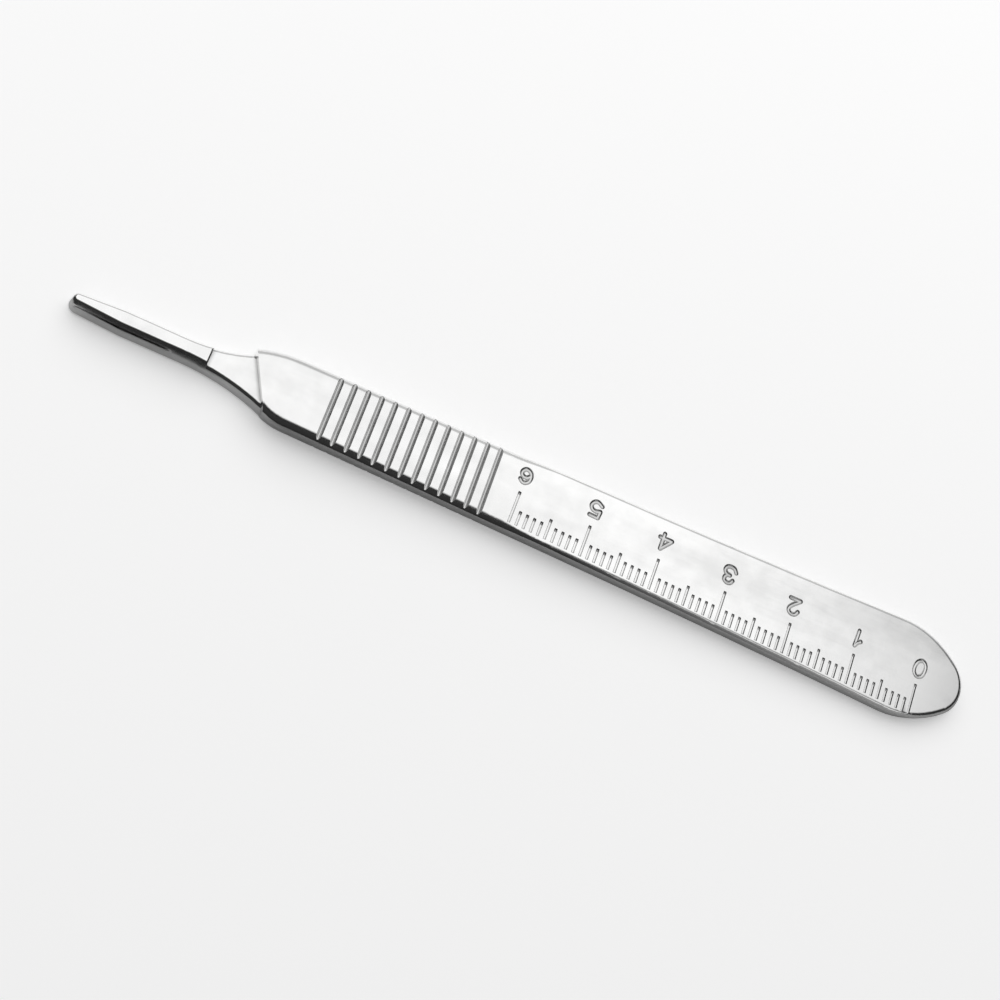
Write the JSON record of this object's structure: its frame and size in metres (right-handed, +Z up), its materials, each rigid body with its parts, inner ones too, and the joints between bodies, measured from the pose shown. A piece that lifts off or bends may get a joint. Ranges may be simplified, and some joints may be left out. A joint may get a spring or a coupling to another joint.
{
  "type": "scalpel handle",
  "caption": "Flat one-piece steel scalpel handle with a cross-grooved grip, a slotted lug that takes a blade at one end and a ruler scale along one edge.",
  "frame": {"origin": "middle of the footprint, on the flat back that the handle lies on", "axes": "+X from the blade fitting to the round tail, +Y across to the edge without the scale, +Z up out of the face that carries the scale"},
  "size_m": [0.125, 0.0128, 0.0039],
  "materials": {
    "steel": "mirror polished stainless steel"
  },
  "bodies": {
    "root": {"scalpel_handle": "steel"}
  },
  "joints": []
}
